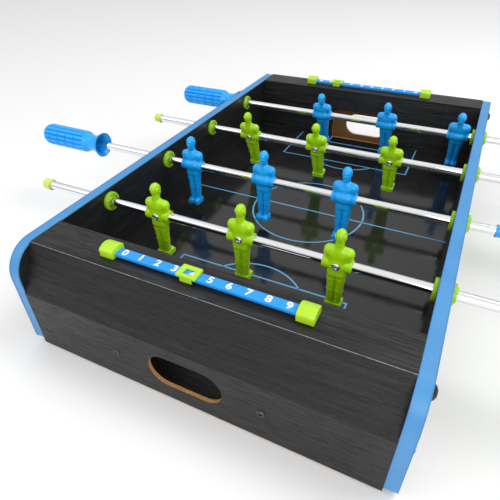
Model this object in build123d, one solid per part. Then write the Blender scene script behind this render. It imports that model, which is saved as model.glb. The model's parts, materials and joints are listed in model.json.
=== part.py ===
from build123d import *
import os
from math import hypot, sqrt

# A tabletop foosball game. Millimetres, +Z up. The origin is the middle of the table, on the
# surface that its feet stand on. X runs along the rods, and Y along the table's length.

# Table
table_length = 508.0
play_width = 292.5
panel_thick = 9.5
panel_height = 95.0
foot_height = 3.0
panel_top_corner = 26.0
panel_low_corner = 6.0
band_thick = 1.0
board = 3.2

panel_low = foot_height
panel_top = foot_height + panel_height
inner_x = play_width / 2
outer_x = inner_x + panel_thick

# Playfield and end boxes
field_top = panel_top - 68.0
field_groove = 3.0
wall_y = 202.0
ledge_edge_y = 234.0
face_y = table_length / 2
slope_foot_z = panel_top - 38.0
goal_width = 76.0
goal_top = panel_top - 27.0
goal_corner = 8.0
return_width = 62.0
return_height = 31.0
return_z = panel_top - 64.7
guide_x = 61.0
guide_thick = 12.0
guide_height = 42.0
gusset_thick = 12.0

# Screws of the table
panel_screw_y = 227.0
panel_screw_z = (20.0, 80.0)
panel_screw_head = 5.25
panel_screw_dome = 4.0
panel_screw_shank = 1.75
panel_screw_length = 20.0
face_screw_z = panel_top - 66.0
face_screw_head = 3.0
face_screw_dome = 1.3
face_screw_shank = 1.5
face_screw_length = 16.0

# Feet
foot_radius = 8.0
foot_x = 134.0
foot_y = 236.0

# Rods
rod_pitch = 95.0
rod_z = panel_top - 13.8
rod_radius = 4.0
rod_wall = 1.0
rod_ys = [rod_pitch * (step - 1.5) for step in range(4)]
# For each rod, near end first: where its middle man stands, how far the men lean with their
# heads towards -Y, and the side that its handle is on.
rod_shifts = (-8.5, -32.0, -10.0, 46.5)
rod_leans = (0.0, 0.0, 18.0, 21.0)
handle_sides = (1, -1, 1, -1)

# Bushings and the sleeves that turn in them
panel_hole = 7.0
flange_radius = 9.0
flange_thick = 3.0
recess_radius = 6.4
recess_depth = 1.8
ring_radius = 8.2
ring_thick = 2.5
sleeve_radius = 5.2
collar_radius = 6.0
collar_thick = 1.0
running_gap = 0.05
end_gap = 0.1

# Handles and end caps, as distances from the rod's middle
handle_end = 291.0
handle_mouth = 204.4
grip_radius = 12.2
grip_dome = 9.0
grip_end = 60.0
grip_ring_first = 12.5
grip_ring_step = 11.6
grip_ring_count = 4
grip_groove_count = 12
grip_groove_width = 2.2
grip_groove_depth = 1.2
neck_radius = 8.85
neck_start = 71.0
neck_end = 76.0
mouth_radius = 13.7
mouth_hollow = 10.0
mouth_depth = 10.0
rod_in_handle = 72.0
cap_end = 219.8
cap_length = 8.8
cap_radius = 5.5
cap_skin = 2.0

# Men, from the rod's axis
man_pitch = 82.5
man_boss_half = 11.8
man_boss_radius = 5.6
man_top = 31.0
man_bottom = -45.0
man_screw_head = 3.0
man_screw_dome = 1.8
man_screw_shank = 1.25
man_back = 6.2

# Scorers, from the ledge's top
score_y = 218.3
score_block_x = (71.0, 83.4)
score_block_depth = 14.0
score_block_side = 6.3
score_block_height = 9.0
score_peg_radius = 2.0
score_bar_width = 8.4
score_bar_low = 1.6
score_bar_top = 4.4
score_bar_in_block = 2.0
slider_length = 15.8
slider_width = 12.0
slider_window = (7.8, 5.6)
slider_top = 6.4
slider_skirt = 9.6
slider_skirt_low = 0.5
slider_hook = 1.0
slider_gap = 0.2
# Where the sliders stand along X; the near one is over the 4
near_slider_x = -9.4
far_slider_x = -41.4


def extrude_x(outline, x_start, x_end):
    """A solid whose outline, drawn as (y, z), runs along X."""
    return extrude(Plane.YZ.offset(x_start) * outline, x_end - x_start)


def bar_x(radius, x_start, x_end, y=0.0, z=0.0):
    """A round bar along X."""
    middle = (x_start + x_end) / 2
    return Pos(middle, y, z) * Rot(0, 90, 0) * Cylinder(radius, abs(x_end - x_start))


def bar_y(radius, y_start, y_end, x=0.0, z=0.0):
    """A round bar along Y."""
    middle = (y_start + y_end) / 2
    return Pos(x, middle, z) * Rot(90, 0, 0) * Cylinder(radius, abs(y_end - y_start))


def block(x_range, y_range, z_range):
    """A rectangular block between the given limits."""
    sizes = [high - low for low, high in (x_range, y_range, z_range)]
    middles = [(high + low) / 2 for low, high in (x_range, y_range, z_range)]
    return Pos(*middles) * Box(*sizes)


def dome_screw(head_radius, dome, shank_radius, length):
    """A cross-head screw with a domed head. Its seat is at z = 0, and its shank points down."""
    section = make_face(
        Curve() + [
            EllipticalCenterArc((0, 0), head_radius, dome, 0, arc_size=90),
            Polyline((0, dome), (0, 0), (head_radius, 0)),
        ]
    )
    screw = revolve(Plane.XZ * section, Axis.Z)
    screw += Pos(0, 0, -length / 2) * Cylinder(shank_radius, length)
    slot_half = head_radius * 0.55
    slot = block((-slot_half, slot_half), (-slot_half / 5, slot_half / 5), (dome * 0.5, dome + 1))
    return screw - slot - Rot(0, 0, 90) * slot


def turned_about_middle(shape):
    """The same piece at the far end of the table."""
    return Rot(0, 0, 180) * shape


# The two boards that a side panel is made of


def panel_outline(inset):
    """The side panel's outline, drawn as (y, z), set in from its outer edge."""
    height = panel_height - 2 * inset
    middle_z = panel_low + panel_height / 2
    outline = Pos(0, middle_z) * Rectangle(table_length - 2 * inset, height)
    corners = outline.vertices().group_by(Axis.Y)
    outline = fillet(corners[-1], panel_top_corner - inset)
    low_corners = outline.vertices().group_by(Axis.Y)[0]
    return fillet(low_corners, panel_low_corner - inset)


def side_panel(side):
    """A side board, grooved for the playfield and drilled for bushings and screws."""
    x_low, x_high = sorted((side * inner_x, side * outer_x))
    panel = extrude_x(panel_outline(band_thick), x_low, x_high)
    groove_x = sorted((side * inner_x, side * (inner_x + field_groove)))
    panel -= block(groove_x, (-wall_y, wall_y), (field_top - board, field_top))
    for y in rod_ys:
        panel -= bar_x(panel_hole, x_low, x_high, y, rod_z)
    for y in (-panel_screw_y, panel_screw_y):
        for z in panel_screw_z:
            panel -= bar_x(panel_screw_shank, x_low, x_high, y, z)
    return panel


def edge_band(side):
    """The coloured edging that goes all the way round a side panel."""
    x_low, x_high = sorted((side * inner_x, side * outer_x))
    return extrude_x(panel_outline(0.0) - panel_outline(band_thick), x_low, x_high)


def playfield():
    half = inner_x + field_groove
    return block((-half, half), (-wall_y, wall_y), (field_top - board, field_top))


# The box at each end, drawn for the far end, where it opens towards -Y

slope_run = face_y - ledge_edge_y
slope_fall = panel_top - slope_foot_z
slope_length = hypot(slope_run, slope_fall)
# Where the inner faces of the boards meet at the two mitres
ledge_under = panel_top - board
face_inner_y = face_y - board
skin_in_y = board * slope_fall / slope_length
skin_in_z = board * slope_run / slope_length


def slope_inside_y(z):
    """How far out the sloping board's inner face is at height z."""
    return ledge_edge_y - skin_in_y + (panel_top - skin_in_z - z) * slope_run / slope_fall


def slope_inside_z(y):
    """How high the sloping board's inner face is at distance y."""
    return panel_top - skin_in_z - (y - ledge_edge_y + skin_in_y) * slope_fall / slope_run


ledge_mitre = (slope_inside_y(ledge_under), ledge_under)
face_mitre = (face_inner_y, slope_inside_z(face_inner_y))
wall_back_y = wall_y + board
trough_top = panel_low + board


def end_board(*points):
    """A board across the table, with its section drawn as (y, z)."""
    return extrude_x(make_face(Polyline(*points, close=True)), -inner_x, inner_x)


def end_ledge():
    """The top board, with two holes for the scorer's pegs."""
    ledge = end_board(
        (wall_y, panel_top), (ledge_edge_y, panel_top), ledge_mitre, (wall_y, ledge_under)
    )
    for x in score_peg_places():
        ledge -= Pos(x, score_y, panel_top) * Cylinder(score_peg_radius, 2 * board)
    return ledge


def end_slope():
    return end_board(
        (ledge_edge_y, panel_top), (face_y, slope_foot_z), face_mitre, ledge_mitre
    )


def end_face():
    """The upright board outside, with the hole that the balls come back through."""
    face = end_board(
        (face_y, slope_foot_z), (face_y, panel_low), (face_inner_y, panel_low), face_mitre
    )
    hole = Pos(0, return_z) * SlotOverall(return_width, return_height)
    face -= extrude(Plane.XZ.offset(-face_y - 1) * hole, board + 2)
    for x in (-guide_x, guide_x):
        face -= bar_y(face_screw_shank, face_inner_y, face_y, x, face_screw_z)
    return face


def end_wall():
    """The inner wall, with the goal."""
    wall = end_board(
        (wall_y, ledge_under),
        (wall_y, panel_low),
        (wall_back_y, panel_low),
        (wall_back_y, ledge_under),
    )
    goal = Pos(0, (field_top + goal_top) / 2) * Rectangle(goal_width, goal_top - field_top)
    goal = fillet(goal.vertices().group_by(Axis.Y)[-1], goal_corner)
    return wall - extrude(Plane.XZ.offset(-wall_back_y - 1) * goal, board + 2)


def trough_floor():
    return block((-inner_x, inner_x), (wall_back_y, face_inner_y), (panel_low, trough_top))


def trough_guides():
    """Two blocks that keep the balls in front of the return hole."""
    guides = []
    for x in (-guide_x, guide_x):
        guide = block(
            (x - guide_thick / 2, x + guide_thick / 2),
            (wall_back_y, face_inner_y),
            (trough_top, trough_top + guide_height),
        )
        inside = face_y - face_screw_length
        guides.append(guide - bar_y(face_screw_shank, inside, face_y, x, face_screw_z))
    return guides


def corner_gussets():
    """A block in each corner that the boards are glued to and the side panels screwed to."""
    section = make_face(
        Polyline(
            (wall_back_y, trough_top),
            (face_inner_y, trough_top),
            face_mitre,
            ledge_mitre,
            (wall_back_y, ledge_under),
            close=True,
        )
    )
    gussets = []
    for side in (-1, 1):
        x_low, x_high = sorted((side * (inner_x - gusset_thick), side * inner_x))
        gusset = extrude_x(section, x_low, x_high)
        tip = side * (outer_x - panel_screw_length)
        for z in panel_screw_z:
            gusset -= bar_x(panel_screw_shank, tip, side * outer_x, panel_screw_y, z)
        gussets.append(gusset)
    return gussets


def panel_screws():
    """The screws through both side panels into one end's gussets."""
    screw = dome_screw(
        panel_screw_head, panel_screw_dome, panel_screw_shank, panel_screw_length
    )
    return [
        Pos(side * outer_x, panel_screw_y, z) * Rot(0, side * 90, 0) * screw
        for side in (-1, 1)
        for z in panel_screw_z
    ]


def face_screws():
    """The two screws through one end's upright board into the trough's guides."""
    screw = dome_screw(
        face_screw_head, face_screw_dome, face_screw_shank, face_screw_length
    )
    return [
        Pos(x, face_y, face_screw_z) * Rot(-90, 0, 0) * screw for x in (-guide_x, guide_x)
    ]


def feet():
    """The feet under one end."""
    foot = Cylinder(foot_radius, foot_height)
    foot = fillet(foot.edges().group_by(Axis.Z)[0], 0.8)
    return [Pos(x, foot_y, foot_height / 2) * foot for x in (-foot_x, foot_x)]


# Scorers, drawn for the far end


def score_peg_places():
    middle = sum(score_block_x) / 2
    return (-middle, middle)


def score_end_blocks():
    """Two arched blocks that hold the bar up, each with a peg through the ledge."""
    half = score_block_depth / 2
    section = make_face(
        Curve() + [
            Polyline(
                (-half, score_block_side), (-half, 0), (half, 0), (half, score_block_side)
            ),
            ThreePointArc(
                (half, score_block_side), (0, score_block_height), (-half, score_block_side)
            ),
        ]
    )
    bar = score_bar()
    blocks = []
    for side in (-1, 1):
        x_low, x_high = sorted(side * x for x in score_block_x)
        end_block = extrude_x(Pos(score_y, panel_top) * section, x_low, x_high)
        peg_x = side * sum(score_block_x) / 2
        end_block += Pos(peg_x, score_y, panel_top - board / 2) * Cylinder(
            score_peg_radius, board
        )
        blocks.append(end_block - bar)
    return blocks


def score_bar():
    half_length = score_block_x[0] + score_bar_in_block
    half_width = score_bar_width / 2
    return block(
        (-half_length, half_length),
        (score_y - half_width, score_y + half_width),
        (panel_top + score_bar_low, panel_top + score_bar_top),
    )


def score_slider(x):
    """A window that slides along the bar, with a skirt on each side hooked under it."""
    window_x, window_y = slider_window
    plate_low = panel_top + score_bar_top + slider_gap
    plate_high = panel_top + slider_top
    middle_z = (plate_low + plate_high) / 2
    plate = Box(slider_length, slider_width, plate_high - plate_low)
    slider = plate - Box(window_x, window_y, plate_high - plate_low)
    slider = Pos(0, 0, middle_z) * slider
    skirt_inside = score_bar_width / 2 + slider_gap
    skirt_low = panel_top + slider_skirt_low
    hook_high = panel_top + score_bar_low - slider_gap
    half_skirt = slider_skirt / 2
    for side in (-1, 1):
        skirt_y = sorted((side * skirt_inside, side * slider_width / 2))
        slider += block((-half_skirt, half_skirt), skirt_y, (skirt_low, plate_high))
        hook_y = sorted((side * (skirt_inside - slider_hook), side * slider_width / 2))
        slider += block((-half_skirt, half_skirt), hook_y, (skirt_low, hook_high))
    return Pos(x, score_y, 0) * slider


# Bushings, drawn for the +X side and turned about Z for the other


def bushing():
    """A flanged bush through the panel, with a recess round the sleeve's end."""
    inner_end = inner_x - flange_thick
    outer_end = outer_x + ring_thick
    bush = bar_x(flange_radius, inner_end, inner_x)
    bush = fillet(bush.edges().sort_by(Axis.X)[0], 0.9)
    bush += bar_x(panel_hole, inner_x, outer_end)
    bush -= bar_x(recess_radius, inner_end, inner_end + recess_depth)
    return bush - bar_x(sleeve_radius + running_gap, inner_end, outer_end)


def bushing_ring():
    """The ring pressed onto the bush outside the panel."""
    ring = bar_x(ring_radius, outer_x, outer_x + ring_thick)
    ring = fillet(ring.edges().sort_by(Axis.X)[-1], 0.7)
    return ring - bar_x(panel_hole, outer_x, outer_x + ring_thick)


def sleeve():
    """The collared sleeve that turns in the bush with the rod, which slides through it."""
    inner_end = inner_x - flange_thick + recess_depth - end_gap - collar_thick
    outer_end = outer_x + ring_thick + end_gap + collar_thick
    tube = bar_x(sleeve_radius, inner_end, outer_end)
    tube += bar_x(collar_radius, inner_end, inner_end + collar_thick)
    tube += bar_x(collar_radius, outer_end - collar_thick, outer_end)
    return tube - bar_x(rod_radius + running_gap, inner_end, outer_end)


def on_both_sides(piece, y):
    """A bushing piece on each end of the rod at y."""
    return [Pos(0, y, rod_z) * Rot(0, 0, turn) * piece for turn in (0, 180)]


# The pieces on a rod, drawn with the handle on the -X side and the men facing -Y


def rod_tube():
    start = -(handle_mouth + rod_in_handle)
    end = cap_end - cap_skin
    tube = bar_x(rod_radius, start, end) - bar_x(rod_radius - rod_wall, start, end)
    for x in man_places():
        tube -= bar_y(man_screw_shank, 0, rod_radius + 1, x)
    return tube


def handle():
    """A turned grip with a bell mouth, cut into pads by rings and lengthwise grooves."""
    shoulder_mid = ((grip_end + neck_start) / 2, (grip_radius + neck_radius) / 2 - 0.5)
    flare_mid = ((neck_end + handle_length()) / 2 + 1, (neck_radius + mouth_radius) / 2 - 1)
    hollow_floor = handle_length() - mouth_depth
    hollow_radius = neck_radius - 1.6
    bore_end = handle_length() - rod_in_handle
    end_flat = grip_radius - grip_dome
    round_mid = (grip_dome * (1 - sqrt(0.5)), end_flat + grip_dome * sqrt(0.5))
    outline = Curve() + [
        Line((0, 0), (0, end_flat)),
        ThreePointArc((0, end_flat), round_mid, (grip_dome, grip_radius)),
        Line((grip_dome, grip_radius), (grip_end, grip_radius)),
        ThreePointArc((grip_end, grip_radius), shoulder_mid, (neck_start, neck_radius)),
        Line((neck_start, neck_radius), (neck_end, neck_radius)),
        ThreePointArc((neck_end, neck_radius), flare_mid, (handle_length(), mouth_radius)),
        Polyline(
            (handle_length(), mouth_radius),
            (handle_length(), mouth_hollow),
            (hollow_floor, hollow_radius),
            (hollow_floor, rod_radius),
            (bore_end, rod_radius),
            (bore_end, 0),
            (0, 0),
        ),
    ]
    grip = revolve(make_face(outline), Axis.X)
    groove_floor = grip_radius - grip_groove_depth
    for ring in range(grip_ring_count):
        x = grip_ring_first + ring * grip_ring_step
        half = grip_groove_width / 2
        cut = bar_x(grip_radius + 1, x - half, x + half)
        grip -= cut - bar_x(groove_floor, x - half, x + half)
    groove = block(
        (grip_dome, grip_end),
        (-grip_groove_width / 2, grip_groove_width / 2),
        (groove_floor, grip_radius + 1),
    )
    for turn in range(grip_groove_count):
        grip -= Rot(360 / grip_groove_count * turn, 0, 0) * groove
    return Pos(-handle_end, 0, 0) * grip


def handle_length():
    return handle_end - handle_mouth


def end_cap():
    cap = bar_x(cap_radius, cap_end - cap_length, cap_end)
    cap = fillet(cap.edges().sort_by(Axis.X)[-1], 1.5)
    return cap - bar_x(rod_radius, cap_end - cap_length, cap_end - cap_skin)


def man_places():
    return (-man_pitch, 0.0, man_pitch)


def man_loft(low, high):
    """A tapered stretch of the body between two (z, width, front y, back y) sections."""
    faces = []
    for z, width, front, back in (low, high):
        outline = RectangleRounded(width, back - front, min(width, back - front) * 0.3)
        faces.append(Plane.XY.offset(z) * Pos(0, (front + back) / 2) * outline)
    return loft(faces)


def man():
    """A moulded player with a deep chest. The rod goes through its elbows."""
    sections = (
        (-40.6, 11.6, -3.2, 3.2),
        (-26.5, 13.6, -3.9, 4.0),
        (-17.0, 14.2, -4.2, 4.2),
        (-16.2, 15.0, -5.0, 5.0),
        (-11.0, 15.0, -5.0, 5.4),
        (-7.0, 14.0, -5.0, 5.4),
        (1.0, 16.4, -6.0, 6.0),
        (10.0, 19.0, -5.4, 5.8),
        (15.5, 11.0, -3.4, 4.0),
    )
    figure = man_loft(sections[0], sections[1])
    for low, high in zip(sections[1:-1], sections[2:]):
        figure += man_loft(low, high)
    figure += block((-6.5, 6.5), (-7.8, 3.9), (man_bottom, -40.4))
    figure += bar_x(man_boss_radius, -man_boss_half, man_boss_half)
    figure += bar_y(man_screw_head + 0.4, 0, man_back)
    for side in (-1, 1):
        shoulder = Pos(side * 7.4, 0, 11.3) * Sphere(4.1)
        upper_arm = Pos(side * 8.5, 0, 5.8) * Rot(0, -side * 2, 0) * Cylinder(2.9, 12.0)
        figure += shoulder + upper_arm
    chest = Pos(0, -2.6, 1.2) * Rot(0, 90, 0) * Cylinder(5.8, 18.0)
    figure += chest + Pos(0, 0, 17.5) * Cylinder(3.1, 7.0)
    head_radius, head_half = 4.3, 6.2
    head_outline = make_face(
        Curve() + [
            EllipticalCenterArc((0, man_top - head_half), head_radius, head_half, -90, arc_size=180),
            Line((0, man_top), (0, man_top - 2 * head_half)),
        ]
    )
    figure += revolve(Plane.XZ * head_outline, Axis.Z)
    figure -= bar_x(rod_radius, -man_boss_half, man_boss_half)
    return figure - bar_y(man_screw_shank, 0, man_back + 1)


def man_screw():
    """The cross-head screw through a man's back into the rod."""
    length = man_back - rod_radius + rod_wall
    screw = dome_screw(man_screw_head, man_screw_dome, man_screw_shank, length)
    return Pos(0, man_back, 0) * Rot(-90, 0, 0) * screw


def rod_pieces(number, shared):
    """Every piece that moves with one rod, by node name."""
    y, shift = rod_ys[number], rod_shifts[number]
    facing = 0 if handle_sides[number] < 0 else 180
    placed = Pos(shift, y, rod_z) * Rot(rod_leans[number], 0, 0) * Rot(0, 0, facing)
    name = f"rod_{number + 1}"
    pieces = {
        f"{name}_tube": [placed * shared["tube"]],
        f"{name}_handle": [placed * shared["handle"]],
        f"{name}_end_cap": [placed * shared["cap"]],
        f"{name}_screws": [placed * Pos(x, 0, 0) * shared["screw"] for x in man_places()],
        f"{name}_sleeves": on_both_sides(shared["sleeve"], y),
    }
    sides = ("left", "middle", "right")
    for side, x in zip(sides, man_places()):
        along = x if facing == 0 else -x
        pieces[f"{name}_man_{side}"] = [placed * Pos(along, 0, 0) * shared["man"]]
    return pieces


def table_pieces():
    """Every piece of the table itself, by node name."""
    pieces = {
        "side_panel_left": [side_panel(-1)],
        "side_panel_right": [side_panel(1)],
        "edge_band_left": [edge_band(-1)],
        "edge_band_right": [edge_band(1)],
        "playfield": [playfield()],
    }
    far_pieces = {
        "end_wall": [end_wall()],
        "end_ledge": [end_ledge()],
        "end_slope": [end_slope()],
        "end_face": [end_face()],
        "trough_floor": [trough_floor()],
        "score_bar": [score_bar()],
        "score_end_blocks": score_end_blocks(),
    }
    for name, solids in far_pieces.items():
        pieces[f"{name}_far"] = solids
        pieces[f"{name}_near"] = [turned_about_middle(solid) for solid in solids]
    both_ends = {
        "trough_guides": trough_guides(),
        "corner_gussets": corner_gussets(),
        "side_panel_screws": panel_screws(),
        "end_face_screws": face_screws(),
        "rubber_feet": feet(),
    }
    for name, solids in both_ends.items():
        pieces[name] = solids + [turned_about_middle(solid) for solid in solids]
    bush, ring = bushing(), bushing_ring()
    pieces["rod_bushings"] = [piece for y in rod_ys for piece in on_both_sides(bush, y)]
    pieces["bushing_rings"] = [piece for y in rod_ys for piece in on_both_sides(ring, y)]
    pieces["score_slider_near"] = [turned_about_middle(score_slider(-near_slider_x))]
    pieces["score_slider_far"] = [score_slider(far_slider_x)]
    return pieces


all_pieces = table_pieces()
shared_shapes = {
    "tube": rod_tube(),
    "handle": handle(),
    "cap": end_cap(),
    "man": man(),
    "screw": man_screw(),
    "sleeve": sleeve(),
}
for rod_number in range(len(rod_ys)):
    all_pieces.update(rod_pieces(rod_number, shared_shapes))

os.makedirs("parts", exist_ok=True)
for node, solids in all_pieces.items():
    group = Compound(children=[Solid(solid.solid().wrapped) for solid in solids])
    export_step(group, f"parts/{node}.step")
print(len(all_pieces), "nodes")
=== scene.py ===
import json
from math import cos, pi, sin

import bmesh
import bpy
import numpy as np
from mathutils import Matrix, Vector


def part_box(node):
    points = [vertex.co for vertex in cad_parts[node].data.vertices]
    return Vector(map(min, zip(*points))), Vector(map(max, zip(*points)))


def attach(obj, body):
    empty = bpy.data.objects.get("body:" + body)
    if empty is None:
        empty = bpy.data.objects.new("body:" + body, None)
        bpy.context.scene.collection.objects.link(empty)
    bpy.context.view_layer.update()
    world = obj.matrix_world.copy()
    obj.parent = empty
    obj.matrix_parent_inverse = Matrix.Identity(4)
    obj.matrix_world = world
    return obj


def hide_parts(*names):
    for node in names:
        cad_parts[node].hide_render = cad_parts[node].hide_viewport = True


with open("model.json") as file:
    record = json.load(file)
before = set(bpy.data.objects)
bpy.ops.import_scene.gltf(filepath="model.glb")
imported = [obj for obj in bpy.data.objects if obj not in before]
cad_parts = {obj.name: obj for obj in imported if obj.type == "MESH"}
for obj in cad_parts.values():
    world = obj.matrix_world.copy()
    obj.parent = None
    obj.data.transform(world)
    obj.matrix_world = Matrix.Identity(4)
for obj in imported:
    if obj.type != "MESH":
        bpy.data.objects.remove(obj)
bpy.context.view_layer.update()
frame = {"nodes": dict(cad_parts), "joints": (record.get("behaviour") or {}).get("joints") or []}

mm = 0.001

# The camera stands in front of the near right corner of the table, and looks down and to the
# left. Its right, up and back directions are worked out from yaw, pitch and roll.
camera_place = Vector((0.1352, -0.4099, 0.3030))
camera_yaw, camera_pitch, camera_roll = 0.471, -0.655, -0.024
look = Vector(
    (-sin(camera_yaw) * cos(camera_pitch), cos(camera_yaw) * cos(camera_pitch), sin(camera_pitch))
)
level_right = look.cross(Vector((0, 0, 1))).normalized()
level_up = level_right.cross(look)
right = level_right * cos(camera_roll) + level_up * sin(camera_roll)
up = level_up * cos(camera_roll) - level_right * sin(camera_roll)
camera_turn = Matrix((right, up, -look)).transposed().to_4x4()

camera_lens = bpy.data.cameras.new("camera")
camera_lens.lens = 32.5
camera_lens.sensor_width = 36.0
camera_lens.clip_start = 0.01


def put_in_scene(name, data):
    thing = bpy.data.objects.new(name, data)
    bpy.context.scene.collection.objects.link(thing)
    return thing


camera = put_in_scene("camera", camera_lens)
camera.matrix_world = Matrix.Translation(camera_place) @ camera_turn
bpy.context.scene.camera = camera

# A white studio: a pale floor that runs out of sight, a surround that is brighter above, a large
# softbox high on the right, a weaker one on the left, and one in front for the near end.
def join(tree, source, target):
    tree.links.new(source, target)


def ramp(tree, factor, stops):
    """A colour ramp through the given (position, colour) stops."""
    node = tree.nodes.new("ShaderNodeValToRGB")
    elements = node.color_ramp.elements
    while len(elements) < len(stops):
        elements.new(0.5)
    for element, (position, colour) in zip(elements, stops):
        element.position = position
        element.color = (*colour, 1)
    join(tree, factor, node.inputs["Fac"])
    return node.outputs["Color"]


bpy.context.scene.view_settings.view_transform = "Standard"
studio = bpy.data.worlds.new("studio")
studio.use_nodes = True
sky = studio.node_tree
sky_place = sky.nodes.new("ShaderNodeTexCoord")
sky_split = sky.nodes.new("ShaderNodeSeparateXYZ")
join(sky, sky_place.outputs["Generated"], sky_split.inputs["Vector"])
sky_bands = [(0.0, 0.66), (0.20, 0.58), (0.48, 0.62), (0.64, 1.0), (1.0, 1.0)]
sky_greys = [(height, (grey, grey, grey)) for height, grey in sky_bands]
sky_colour = ramp(sky, sky_split.outputs["Z"], sky_greys)
join(sky, sky_colour, sky.nodes["Background"].inputs["Color"])
sky.nodes["Background"].inputs["Strength"].default_value = 0.95
bpy.context.scene.world = studio


def softbox(name, place, aim, size, power):
    lamp = bpy.data.lights.new(name, "AREA")
    lamp.shape = "SQUARE"
    lamp.size = size
    lamp.energy = power
    lit = put_in_scene(name, lamp)
    lit.location = place
    lit.rotation_euler = (Vector(aim) - Vector(place)).to_track_quat("-Z", "Y").to_euler()


table_middle = (0, 0, 0.05)
softbox("key_softbox", (0.75, 0.35, 1.25), table_middle, 0.8, 9.0)
softbox("fill_softbox", (-1.1, -0.9, 1.1), table_middle, 0.9, 3.0)
softbox("front_softbox", (0.45, -1.35, 0.75), table_middle, 0.7, 8.0)

floor_mesh = bpy.data.meshes.new("studio_floor")
floor_half = 12.0
floor_mesh.from_pydata(
    [(-floor_half, -floor_half, 0), (floor_half, -floor_half, 0), (floor_half, floor_half, 0),
     (-floor_half, floor_half, 0)],
    [],
    [(0, 1, 2, 3)],
)
studio_floor = put_in_scene("studio_floor", floor_mesh)
floor_finish = bpy.data.materials.new("pale_floor")
floor_finish.use_nodes = True
floor_shader = floor_finish.node_tree.nodes["Principled BSDF"]
floor_shader.inputs["Base Color"].default_value = (0.86, 0.86, 0.86, 1)
floor_shader.inputs["Roughness"].default_value = 0.7
floor_shader.inputs["Specular IOR Level"].default_value = 0.1
floor_mesh.materials.append(floor_finish)

# The side panels are fibreboard, 9.5 mm thick, faced on both sides with a black laminate whose
# embossed wood grain runs along the table. They are sawn to a round at the top corners, and
# grooved for the playfield.
def add_node(tree, kind, **settings):
    """A node with some of its properties, or its unlinked inputs by name, set."""
    node = tree.nodes.new(kind)
    for name, value in settings.items():
        if hasattr(node, name):
            setattr(node, name, value)
        else:
            node.inputs[name.replace("_", " ")].default_value = value
    return node


def new_group(name, **outputs):
    """An empty shader group with named outputs: the group, its coordinates and its output node."""
    group = bpy.data.node_groups.new(name, "ShaderNodeTree")
    group.interface.new_socket("Vector", in_out="INPUT", socket_type="NodeSocketVector")
    for socket, kind in outputs.items():
        group.interface.new_socket(socket, in_out="OUTPUT", socket_type="NodeSocket" + kind)
    places = group.nodes.new("NodeGroupInput").outputs["Vector"]
    return group, places, group.nodes.new("NodeGroupOutput")


def maths(tree, operation, *values):
    """A math node fed with sockets or plain numbers."""
    node = tree.nodes.new("ShaderNodeMath")
    node.operation = operation
    for number, value in enumerate(values):
        if isinstance(value, (int, float)):
            node.inputs[number].default_value = value
        else:
            join(tree, value, node.inputs[number])
    return node.outputs[0]


def blend_colours(tree, factor, first, second):
    """A colour mix; each end is a socket or a plain colour."""
    node = tree.nodes.new("ShaderNodeMix")
    node.data_type = "RGBA"
    for socket, value in ((0, factor), (6, first), (7, second)):
        if isinstance(value, bpy.types.NodeSocket):
            join(tree, value, node.inputs[socket])
        elif isinstance(value, tuple):
            node.inputs[socket].default_value = (*value, 1)
        else:
            node.inputs[socket].default_value = value
    return node.outputs[2]


def noise(tree, places, scale, detail, roughness=0.5, distortion=0.0):
    """The value of a noise texture at the given coordinates."""
    node = add_node(
        tree, "ShaderNodeTexNoise",
        Scale=scale, Detail=detail, Roughness=roughness, Distortion=distortion,
    )
    join(tree, places, node.inputs["Vector"])
    return node.outputs["Fac"]


def new_finish(name):
    """A material with a Principled shader: the material, its tree, shader and coordinates."""
    material = bpy.data.materials.new(name)
    material.use_nodes = True
    tree = material.node_tree
    places = tree.nodes.new("ShaderNodeTexCoord").outputs["Object"]
    return material, tree, tree.nodes["Principled BSDF"], places


def paint(tree, shader, colour, roughness):
    join(tree, colour, shader.inputs["Base Color"])
    join(tree, roughness, shader.inputs["Roughness"])


def add_bump(tree, shader, height, depth, strength):
    bump = add_node(tree, "ShaderNodeBump", Strength=strength, Distance=depth)
    join(tree, height, bump.inputs["Height"])
    join(tree, bump.outputs["Normal"], shader.inputs["Normal"])


# Wood grain for the laminate: broad streaks, and fine pores that follow them
grain_group, grain_places, grain_out = new_group(
    "laminate_grain", Streaks="Float", Pores="Float", Height="Float"
)
streak_noise = noise(grain_group, grain_places, 1.0, 7.0, 0.66, 0.7)
streaks = ramp(grain_group, streak_noise, [(0.36, (0, 0, 0)), (0.66, (1, 1, 1))])
finer = add_node(grain_group, "ShaderNodeVectorMath", operation="MULTIPLY")
finer.inputs[1].default_value = (5.5, 5.5, 5.5)
join(grain_group, grain_places, finer.inputs[0])
pore_noise = noise(grain_group, finer.outputs[0], 1.0, 3.0)
pores = ramp(grain_group, pore_noise, [(0.50, (0, 0, 0)), (0.62, (1, 1, 1))])
join(grain_group, streaks, grain_out.inputs["Streaks"])
join(grain_group, pores, grain_out.inputs["Pores"])
join(
    grain_group,
    maths(grain_group, "SUBTRACT", streaks, maths(grain_group, "MULTIPLY", pores, 0.8)),
    grain_out.inputs["Height"],
)

# Raw fibreboard, seen on sawn edges and bare backs: light brown with darker flecks of fibre
fibre_group, fibre_places, fibre_out = new_group("raw_fibreboard", Color="Color", Height="Float")
fibre_noise = noise(fibre_group, fibre_places, 1100.0, 5.0, 0.7)
fibre_colour = ramp(
    fibre_group, fibre_noise,
    [(0.30, (0.20, 0.085, 0.028)), (0.50, (0.46, 0.235, 0.085)), (0.70, (0.62, 0.36, 0.16))],
)
join(fibre_group, fibre_colour, fibre_out.inputs["Color"])
join(fibre_group, fibre_noise, fibre_out.inputs["Height"])

grain_across, grain_along = 270.0, 10.0


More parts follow.
